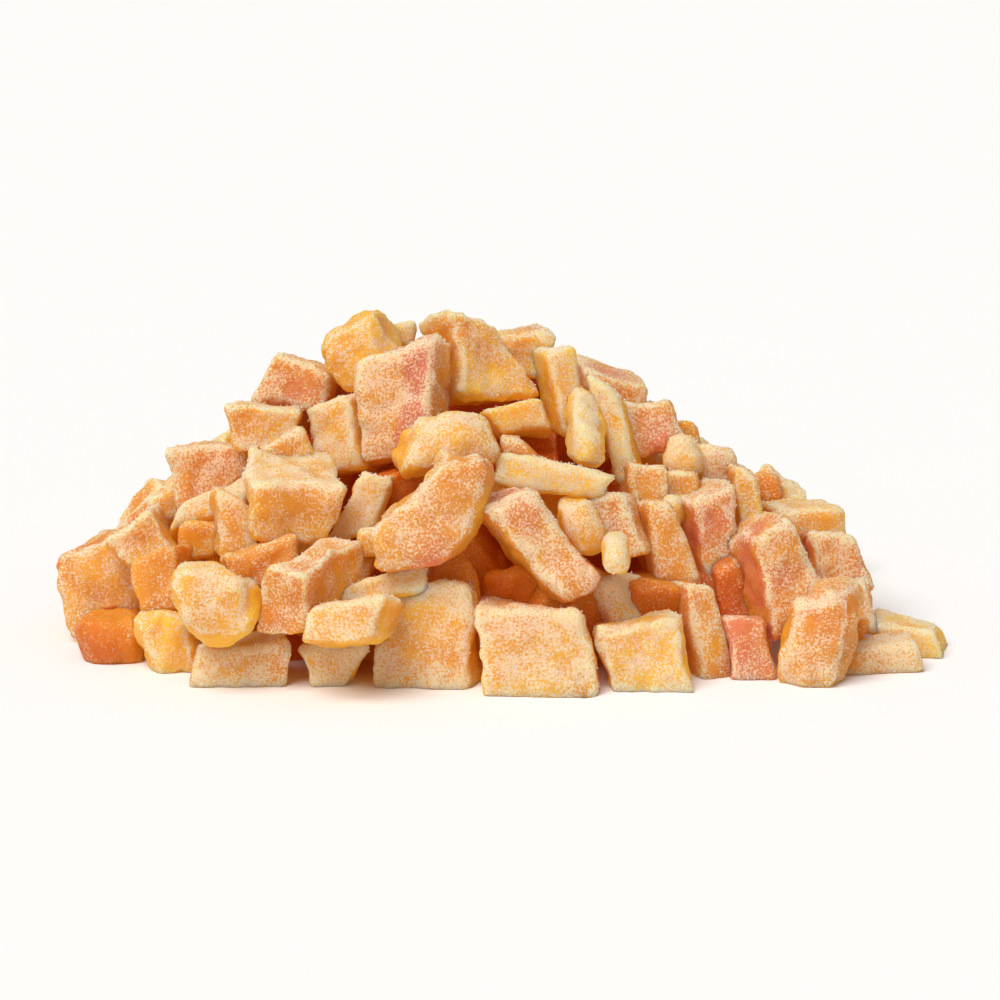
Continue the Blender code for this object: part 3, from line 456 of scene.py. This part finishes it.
# The surface of a box as one closed grid of outward quads. Unit place = even share * step + crowded share * sine of
# step * pi / 2, with steps from -1 to 1.
def boxGrid(counts):
    steps = np.indices([count + 1 for count in counts])
    last = np.array(counts)[:, None, None, None]
    onSurface = ((steps == 0) | (steps == last)).any(axis=0)
    number = np.full(onSurface.shape, -1)
    number[onSurface] = np.arange(onSurface.sum())
    flat = (2 * steps / last - 1)[:, onSurface].T
    quads = []
    for axis in range(3):
        for side in (0, counts[axis]):
            grid = number.take(side, axis=axis)
            four = np.stack([grid[:-1, :-1], grid[1:, :-1], grid[1:, 1:], grid[:-1, 1:]], axis=-1).reshape(-1, 4)
            quads.append(four[:, ::-1] if (side == 0) != (axis == 1) else four)
    return cut["even"] * flat + cut["crowded"] * np.sin(flat * np.pi / 2), np.concatenate(quads)


# Ripples = root of (2 / waves) * the sum of sines of (wave vector . point + phase), for each point and channel.
def ripple(points, wavelength, random, channels=1, waves=9, least=0.7, most=1.4):
    ways = random.normal(size=(waves, channels, 3))
    ways *= 2 * np.pi / wavelength / np.linalg.norm(ways, axis=2, keepdims=True)
    ways *= random.uniform(least, most, (waves, channels, 1))
    phases = random.uniform(0, 2 * np.pi, (waves, channels))
    return np.sin(np.einsum("wck,nk->nwc", ways, points) + phases).sum(axis=1) * np.sqrt(2 / waves)


# Carries a straight piece round an arc: angle = place along it / radius, so its length curves towards +across.
def bent(along, across, degrees):
    radius = np.ptp(along) / np.radians(abs(degrees))
    side = np.sign(degrees)
    angle = along / radius
    return (radius - side * across) * np.sin(angle), side * (radius - (radius - side * across) * np.cos(angle))


# Smooth step = share ^ 2 * (3 - 2 share), with share = (value - low) / (high - low) kept in 0 to 1.
def smooth(low, high, value):
    share = np.clip((value - low) / (high - low), 0, 1)
    return share * share * (3 - 2 * share)


# Tone = the piece's own, moved towards its patches' by a ripple. Sugar = dust * (facing + rim - patches), made uneven
# by ripples; its facing part is partly sugar and partly painted light. Painted shade: deep inside the mound, on sides
# and on clear pieces the colour's power rises, which darkens it, and deep inside the sugar thins out.
def coated(piece, points, placed, unit, edgeGap, random):
    facing = np.clip(unit ** coating["facingPower"] @ piece["axes"] @ piece.get("facing", coating["facing"]), -1, 1)
    patches = smooth(*coating["patchEdge"], ripple(points, coating["patchLength"], random)[:, 0])
    tone = piece["tone"] + (piece["patch"] - piece["tone"]) * patches
    tone = np.clip(tone + coating["drift"] * ripple(points, coating["driftLength"], random)[:, 0], 0, 1)
    flesh = np.stack([np.interp(tone, np.linspace(0, 1, len(fleshTones)), channel) for channel in fleshTones.T], 1)
    width = coating["rimWidth"] * (1 + coating["rimUneven"] * ripple(points, coating["rimLength"], random)[:, 0])
    rim = smooth(width, coating["rimInside"], edgeGap)
    sugar = piece["dust"] * (coating["everywhere"] + coating["onFacing"] * facing + coating["onRim"] * rim
                             - coating["offPatches"] * patches)
    uneven = sum(height * ripple(points, wavelength, random)[:, 0] for wavelength, height in coating["uneven"])
    sugar = sugar + uneven * min(1.0, piece["dust"] / coating["fullDust"])
    # painted shade deep inside the mound: the flesh darkens and its sugar thins out
    shade = smooth(*coating["paintedShadeDepths"], depthInside(placed))
    # clear pieces get painted shade: their flesh is darkened below as if set back in the heap
    clear = 1 - smooth(*coating["clear"], piece["dust"])
    # painted shade on sides across the facing way, and on clear pieces, darkens the flesh further
    flesh = flesh ** (1 + coating["paintedShadePower"] * shade + coating["paintedSideShadePower"] * (1 - np.abs(facing))
                      + coating["paintedClearShadePower"] * clear)[:, None]
    return flesh, np.clip(sugar * (1 - coating["paintedShadeThinsSugar"] * shade), 0, coating["mostSugar"])


# One piece: box grid -> hollowed faces -> rounded edges -> swollen -> corners out of true -> tapered, skewed and
# bent -> rippled -> turned and set in its place. Also returns the colour of its flesh and its share of sugar.
def cutPiece(piece, corners, facet, random):
    shape, size, half = forms[piece["form"]], piece["size"], piece["size"] / 2
    unit, quads = boxGrid([max(cut["fewest"], round(length / facet)) for length in size])
    points = unit * half
    inside = 1 - unit ** 2
    for axis in range(3):
        others = [k for k in range(3) if k != axis]
        dip = inside[:, others[0]] * inside[:, others[1]]
        for side in (-1, 1):
            depth = shape["sink"] * random.uniform(*cut["hollow"]) * min(1.0, size[axis] / cut["hollowSize"])
            points[:, axis] -= side * depth * dip * (unit[:, axis] == side)
    radius = min(shape["round"] * random.uniform(*cut["roundness"]), cut["roundest"] * min(size))
    core = np.clip(points, -(half - radius), half - radius)
    out = points - core
    points = core + out * np.minimum(1, radius / np.maximum(np.linalg.norm(out, axis=1, keepdims=True), 1e-9))
    if "swell" in shape:
        oval = unit * half / np.linalg.norm(unit, axis=1, keepdims=True) * cut["oval"]
        points = points + shape["swell"] * (oval - points)
    edgeGap = np.sort(half * (1 - np.abs(unit)), axis=1)[:, 1]
    share = np.clip(points / half * 0.5 + 0.5, 0, 1)
    strays = corners * cut["outOfTrue"] * size
    if "pulled" in piece:
        strays[:, 0] *= cut["readOff"]
        strays += piece["pulled"]
    for i in range(2):
        for j in range(2):
            for k in range(2):
                picked = np.where([i, j, k], share, 1 - share).prod(axis=1)
                points = points + picked[:, None] * strays[i, j, k]
    between = 1 - np.clip(points / half, -1, 1) ** 2
    points = points * (1 - random.uniform(*cut["waist"], 3) * between[:, [2, 2, 0]])
    x, y, z = points.T
    narrow = 1 - shape.get("taper", 0) * z / half[2] - shape.get("point", 0) * np.minimum((z / half[2]) ** 2, 1)
    x = x * narrow + shape.get("skew", 0) * z
    if "bend" in shape:
        z, x = bent(z, x, shape["bend"])
    if "arch" in shape:
        z, y = bent(z, y, shape["arch"])
    points = np.stack([x, y, z], axis=1)
    steady = min(1.0, min(size) / cut["rippleSize"])
    for wavelength, height in (*cut["ripples"], (cut["lumpLength"], shape.get("lumps", 0))):
        points = points + cut["rippleShare"] * height * steady * ripple(points, wavelength, random, 3)
    placed = points @ piece["axes"] + piece["at"]
    flesh, sugar = coated(piece, points, placed, unit, edgeGap, random)
    pressed = cut["pressed"] * (1 - smooth(0, cut["pressedUpTo"], placed[:, 2]))
    placed[:, 2] = np.maximum(placed[:, 2] - pressed, cut["offFloor"])
    return placed, quads, flesh, sugar


# One mesh object = points in metres + faces, with the flesh colour and share of sugar kept at each point.
def meshPiece(name, points, quads, material, flesh=None, sugar=None):
    mesh = bpy.data.meshes.new(name)
    mesh.vertices.add(len(points))
    mesh.vertices.foreach_set("co", (points * mm).ravel())
    mesh.loops.add(quads.size)
    mesh.loops.foreach_set("vertex_index", quads.ravel().astype(np.int32))
    mesh.polygons.add(len(quads))
    mesh.polygons.foreach_set("loop_start", np.arange(0, quads.size, quads.shape[1], dtype=np.int32))
    mesh.polygons.foreach_set("use_smooth", np.full(len(quads), flesh is not None))
    if flesh is not None:
        colour = mesh.color_attributes.new("flesh", "FLOAT_COLOR", "POINT")
        colour.data.foreach_set("color", np.column_stack([flesh, np.ones(len(flesh))]).ravel())
        share = mesh.attributes.new("sugar", "FLOAT", "POINT")
        share.data.foreach_set("value", sugar)
    mesh.update(calc_edges=True)
    mesh.validate()
    obj = bpy.data.objects.new(name, mesh)
    bpy.context.scene.collection.objects.link(obj)
    mesh.materials.append(material)
    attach(obj, "root")
    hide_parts("mango_heap")


# Several pieces in one = their points end to end, with each face's numbers raised by the points before it.
def joined(parts):
    offset, points, quads, flesh, sugar = 0, [], [], [], []
    for part in parts:
        points.append(part[0])
        quads.append(part[1] + offset)
        flesh.append(part[2])
        sugar.append(part[3])
        offset += len(part[0])
    return np.concatenate(points), np.concatenate(quads), np.concatenate(flesh), np.concatenate(sugar)


# A node's output that sums and products work on: each of them adds a Math node.
class Wire:
    def __init__(self, graph, socket):
        self.graph, self.socket = graph, socket

    def maths(self, operation, *values):
        return self.graph.add("ShaderNodeMath", {"operation": operation}, dict(enumerate(values)))

    def __add__(self, other):
        return self.maths("ADD", self, other)

    def __mul__(self, other):
        return self.maths("MULTIPLY", self, other)

    __radd__, __rmul__ = __add__, __mul__

    # the same smooth step as above, from 0 at low to 1 at high
    def clamped(self, low, high):
        return self.graph.add("ShaderNodeMapRange", {"interpolation_type": "SMOOTHSTEP"},
                              {"Value": self, "From Min": low, "From Max": high})


# A material = a Principled BSDF with fixed values, and added nodes for what varies over the surface.
class Finish:
    def __init__(self, name, constants):
        self.material = bpy.data.materials.new(name)
        self.material.use_nodes = True
        self.nodes, self.links = self.material.node_tree.nodes, self.material.node_tree.links
        self.surface = self.nodes["Principled BSDF"]
        self.set(self.surface, constants)

    # a wire is linked to its socket, and a number or colour is set on it
    def set(self, node, values):
        for socket, value in values.items():
            if isinstance(value, Wire):
                self.links.new(value.socket, node.inputs[socket])
            else:
                node.inputs[socket].default_value = value

    # any node, by its type, settings and inputs, as a wire from one of its outputs
    def add(self, kind, settings, inputs, output=0):
        node = self.nodes.new(kind)
        for setting, value in settings.items():
            setattr(node, setting, value)
        self.set(node, inputs)
        return Wire(self, node.outputs[output])

    # colour = first * (1 - share) + second * share
    def mixed(self, share, first, second):
        return self.add("ShaderNodeMix", {"data_type": "RGBA"}, {0: share, 6: first, 7: second}, 2)

    # noise with its scale in features per metre, over Object coordinates
    def noise(self, scale, detail, roughness=0.5):
        place = self.add("ShaderNodeTexCoord", {}, {}, 3)
        return self.add("ShaderNodeTexNoise", {}, {"Vector": place, "Scale": scale, "Detail": detail,
                                                   "Roughness": roughness})


fleshFinish = {
    "frost": (0.97, 0.735, 0.51, 1),
    "crystals": (3700.0, 2.0, 0.6), "clumps": (1000.0, 3.0, 0.55),  # scale per metre, detail and roughness of noise
    "crystalPart": 7.5, "clumpPart": 0.9, "sugarPart": 2.2,  # parts in the sum that makes a speckle
    "speckleEdge": (4.45, 6.0), "sugarEdge": (-0.04, 0.12),  # of that sum and of the sugar, from bare to speckled
    "frosted": 0.84, "veiled": 0.06,  # how white speckles are, and sugar too fine to make one
    "roughness": 0.38, "rougher": 0.25,
    "glow": 0.15,  # share of its colour that clear flesh gives off, for the light that comes through it
    "bump": 0.00025, "bumpStrength": 0.8, "clumpBump": 1.2, "speckleBump": 0.4,
    "scatter": 0.004, "scatterRadius": (0.9, 0.58, 0.24),
    "bending": 1.45, "gloss": 0.3,  # index of refraction and specular level
}


# Candied flesh under sugar. Speckle = smooth step of (crystals + clumps + sugar, each times its part) where sugar
# lies; colour = flesh mixed towards frost by the speckle.
def candiedFlesh():
    finish = Finish("candied_flesh", {
        "Subsurface Weight": 1.0, "Subsurface Radius": fleshFinish["scatterRadius"],
        "Subsurface Scale": fleshFinish["scatter"], "IOR": fleshFinish["bending"],
        "Specular IOR Level": fleshFinish["gloss"], "Emission Strength": fleshFinish["glow"],
    })
    # the flesh and sugar kept at each point already hold painted shade and painted light: darker flesh and thinner
    # sugar deep in the mound, darker flesh on sides and clear pieces, more sugar on the lit sides
    flesh = finish.add("ShaderNodeAttribute", {"attribute_name": "flesh"}, {})
    sugar = finish.add("ShaderNodeAttribute", {"attribute_name": "sugar"}, {}, 2)
    crystals = finish.noise(*fleshFinish["crystals"])
    clumps = finish.noise(*fleshFinish["clumps"])
    gathered = (crystals * fleshFinish["crystalPart"] + clumps * fleshFinish["clumpPart"]
                + sugar * fleshFinish["sugarPart"])
    speckle = gathered.clamped(*fleshFinish["speckleEdge"]) * sugar.clamped(*fleshFinish["sugarEdge"])
    height = crystals + clumps * fleshFinish["clumpBump"] + speckle * fleshFinish["speckleBump"]
    finish.set(finish.surface, {
        "Base Color": finish.mixed(speckle * fleshFinish["frosted"] + sugar * fleshFinish["veiled"], flesh,
                                   fleshFinish["frost"]),
        "Emission Color": finish.mixed(speckle, flesh, (0, 0, 0, 1)),
        "Roughness": fleshFinish["roughness"] + speckle * fleshFinish["rougher"],
        "Normal": finish.add("ShaderNodeBump", {}, {"Strength": fleshFinish["bumpStrength"],
                                                    "Distance": fleshFinish["bump"], "Height": height}),
    })
    return finish.material


grainFinish = {
    "pale": (1.0, 0.95, 0.84, 1), "warm": (1.0, 0.82, 0.6, 1),
    "tint": (300.0, 1.0),  # scale per metre and detail of the noise between the two
    "roughness": 0.25,
    "scatter": 0.0004, "scatterRadius": (1, 0.9, 0.8), "scattered": 0.4,
}


# Loose sugar, small pale glassy crystals: colour = pale mixed towards warm by noise.
def sugarGrains():
    finish = Finish("sugar_grains", {
        "Subsurface Weight": grainFinish["scattered"], "Subsurface Radius": grainFinish["scatterRadius"],
        "Subsurface Scale": grainFinish["scatter"], "Roughness": grainFinish["roughness"],
    })
    tint = finish.noise(*grainFinish["tint"])
    finish.set(finish.surface, {"Base Color": finish.mixed(tint, grainFinish["pale"], grainFinish["warm"])})
    return finish.material


candied = candiedFlesh()
grains = sugarGrains()

yellowBelow, orangeBelow = 0.36, 0.54  # tones that part the dice into kinds
shaping = np.random.default_rng(41)
kinds = {}
for index, piece in enumerate(outer):
    seen = index < seenCount
    made = cutPiece(piece, outerCorners[index], cut["seenFacet"] if seen else cut["ringFacet"], shaping)
    if not seen:
        kind = "dice_round_the_back"
    elif piece["form"] in ("crescent", "curl", "strip"):
        kind = "curled_strips"
    elif piece["form"] == "lobe":
        kind = "rounded_ends"
    elif piece["tone"] < yellowBelow:
        kind = "yellow_dice"
    elif piece["tone"] < orangeBelow:
        kind = "orange_dice"
    else:
        kind = "pink_dice"
    kinds.setdefault(kind, []).append(made)
kinds["dice_underneath"] = [cutPiece(piece, underCorners[index], cut["underFacet"], shaping)
                            for index, piece in enumerate(under)]
meshes = {kind: joined(parts) for kind, parts in kinds.items()}
for kind, (points, quads, flesh, sugar) in meshes.items():
    meshPiece("mango_" + kind, points, quads, candied, flesh, sugar)
    print("made", kind, len(kinds[kind]), "pieces,", 2 * len(quads), "triangles")

# the middle of the heap, which only shows as darkness between the pieces; its darker flesh is painted shade
middleOfHeap = {
    "inset": 17.0,
    "underSkin": 18.0,
    "rings": 10, "around": 60,
    "foot": 0.5, "tip": 0.08,  # sizes of the innermost ring of the foot and of the top, as shares of the outermost
    "least": 2.0, "tipRise": 0.5,
    "paintedShadeDarkening": 1.7,  # power of the flesh's colour, painted shade for the middle
}


# Rings = the footprint's outline shrunk towards the crest; height = skin height - depth, closed flat on the floor.
def heapMiddle():
    angle = np.linspace(0, 2 * np.pi, middleOfHeap["around"], endpoint=False)
    up = np.linspace(1.0, middleOfHeap["tip"], middleOfHeap["rings"])
    out = np.concatenate([[middleOfHeap["foot"], 1.0], up])[:, None]
    footX, footY = roundFootprint(middleOfHeap["inset"], angle)
    x = out * footX + (1 - out) * mound["crest"][0]
    y = out * footY + (1 - out) * mound["crest"][1]
    z = np.maximum(skinHeight(x, y) - middleOfHeap["underSkin"], middleOfHeap["least"])
    z[:2] = 0.0
    points = np.stack([x, y, z], axis=2).reshape(-1, 3)
    rows, around = out.size, len(angle)
    low = np.arange((rows - 1) * around).reshape(rows - 1, around)
    after = np.roll(low, -1, axis=1)
    quads = np.stack([low, after, after + around, low + around], axis=-1).reshape(-1, 4)
    centres = np.array([[*mound["crest"], 0.0], [*mound["crest"], z[-1].mean() + middleOfHeap["tipRise"]]])
    ends = []
    for centre, row, turn in ((len(points), 0, -1), (len(points) + 1, rows - 1, 1)):
        ring = row * around + np.arange(around)
        following = np.roll(ring, -1)
        pair = (ring[::2], following[::2], following[1::2])[::turn]
        ends.append(np.stack([*pair, np.full(around // 2, centre)], axis=1))
    points = np.concatenate([points, centres])
    quads = np.concatenate([quads, *ends])
    flesh = np.tile(fleshTones[2] ** middleOfHeap["paintedShadeDarkening"], (len(points), 1))
    return points, quads, flesh, np.zeros(len(points))


points, quads, flesh, sugar = heapMiddle()
meshPiece("mango_middle", points, quads, candied, flesh, sugar)
print("made the middle of the heap")

# loose sugar on the pieces
looseSugar = {
    "count": 21000,
    "smallest": 0.05, "largest": 0.13,  # from the middle of a crystal to its corners
    "deepest": 9.0, "lowest": 0.3,  # under the skin, and over the floor
    "inside": (-5.0, 0.0, -5.0),  # only faces turned away from this place get any
    "proud": 0.35,  # share of its size that a crystal is lifted by
    "astray": 0.15,
}


# Eight-faced crystals on random outer faces, picked by area * sugar ** 2: corner = the face's middle + size * a
# turned unit axis.
def looseCrystals(random):
    spots, normals, weights = [], [], []
    for kind, (points, quads, flesh, sugar) in meshes.items():
        if kind == "dice_underneath":
            continue
        a, b, c, d = (points[quads[:, k]] for k in range(4))
        across = np.cross(c - a, d - b)
        area = np.linalg.norm(across, axis=1)
        spot = (a + b + c + d) / 4
        skinGap = skinHeight(spot[:, 0], spot[:, 1]) - spot[:, 2]
        outward = (across * (spot - looseSugar["inside"])).sum(axis=1)
        exposed = (outward > 0) * (skinGap < looseSugar["deepest"]) * (spot[:, 2] > looseSugar["lowest"])
        spots.append(spot)
        normals.append(across / np.maximum(area, 1e-9)[:, None])
        weights.append(area * exposed * sugar[quads].mean(axis=1) ** 2)
    spots, normals, weights = np.concatenate(spots), np.concatenate(normals), np.concatenate(weights)
    count, smallest, astray = looseSugar["count"], looseSugar["smallest"], looseSugar["astray"]
    chosen = random.choice(len(spots), count, p=weights / weights.sum())
    size = smallest + (looseSugar["largest"] - smallest) * random.uniform(0, 1, count) ** 2
    turned = np.linalg.qr(random.normal(size=(count, 3, 3)))[0]
    corners = np.concatenate([turned, -turned], axis=1) * size[:, None, None]
    lifted = normals[chosen] * size[:, None] * looseSugar["proud"]
    middles = spots[chosen] + lifted + random.uniform(-astray, astray, (count, 3))
    points = (middles[:, None] + corners).reshape(-1, 3)
    eight = np.array([[0, 1, 2], [1, 3, 2], [3, 4, 2], [4, 0, 2], [1, 0, 5], [3, 1, 5], [4, 3, 5], [0, 4, 5]])
    faces = (eight + 6 * np.arange(len(chosen))[:, None, None]).reshape(-1, 3)
    mirrored = np.repeat(np.linalg.det(turned) < 0, 8)
    faces[mirrored] = faces[mirrored, ::-1]
    points[:, 2] = np.maximum(points[:, 2], 0.0)
    return points, faces


points, faces = looseCrystals(np.random.default_rng(43))
meshPiece("sugar_crystals", points, faces, grains)
print("scattered", looseSugar["count"], "sugar crystals")

studio = {
    "floor": (0.93, 0.925, 0.92, 1), "floorDull": (0.90, 0.895, 0.89, 1),
    "floorNoise": (40.0, 2.0), "dullShare": 0.2,
    "floorReach": 3.0,  # metres each way
    "floorRoughness": 0.9, "floorGloss": 0.1,
    "skyStrength": 0.36,
    "key": {"from": (-0.4, -0.6, 1.0), "strength": 2.8, "spread": 40.0, "colour": (1.0, 0.985, 0.96)},
}


# The floor = one flat square at height 0, its colour mixed by faint noise towards a duller one.
def studioFloor():
    mesh = bpy.data.meshes.new("floor")
    reach = studio["floorReach"]
    mesh.from_pydata([(-reach, -reach, 0), (reach, -reach, 0), (reach, reach, 0), (-reach, reach, 0)], [],
                     [(0, 1, 2, 3)])
    floor = bpy.data.objects.new("floor", mesh)
    bpy.context.scene.collection.objects.link(floor)
    finish = Finish("floor_paper", {"Roughness": studio["floorRoughness"],
                                    "Specular IOR Level": studio["floorGloss"]})
    dulled = finish.noise(*studio["floorNoise"]) * studio["dullShare"]
    finish.set(finish.surface, {"Base Color": finish.mixed(dulled, studio["floor"], studio["floorDull"])})
    mesh.materials.append(finish.material)


# Sets an object at a place, turned so that its -Z lies along target - place.
def aimed(obj, place, target):
    obj.location = place
    obj.rotation_euler = (Vector(target) - Vector(place)).to_track_quat("-Z", "Y").to_euler()
    bpy.context.scene.collection.objects.link(obj)
    return obj


# Soft light = an even white sky + one broad lamp from above and in front, to the left.
def studioLight():
    world = bpy.data.worlds.new("studio")
    bpy.context.scene.world = world
    world.use_nodes = True
    backdrop = world.node_tree.nodes["Background"]
    backdrop.inputs["Color"].default_value = (1, 1, 1, 1)
    backdrop.inputs["Strength"].default_value = studio["skyStrength"]
    key = bpy.data.lights.new("key", "SUN")
    key.energy, key.color = studio["key"]["strength"], studio["key"]["colour"]
    key.angle = np.radians(studio["key"]["spread"])
    aimed(bpy.data.objects.new("key", key), studio["key"]["from"], (0, 0, 0))


# Lens = sensor width * distance / the width that the picture takes in; eye = aim up the view - distance into it.
def photoCamera():
    camera = bpy.data.cameras.new("camera")
    camera.sensor_width = view["sensorWidth"]
    camera.lens = view["sensorWidth"] * view["distance"] / view["pictureWidth"]
    camera.clip_start, camera.clip_end = view["clip"]
    target = Vector(upTheView) * view["aim"] * mm
    eye = target - Vector(intoTheView) * view["distance"] * mm
    bpy.context.scene.camera = aimed(bpy.data.objects.new("camera", camera), eye, target)


studioFloor()
studioLight()
photoCamera()
bpy.context.scene.view_settings.view_transform = "Standard"
print("lit and framed")
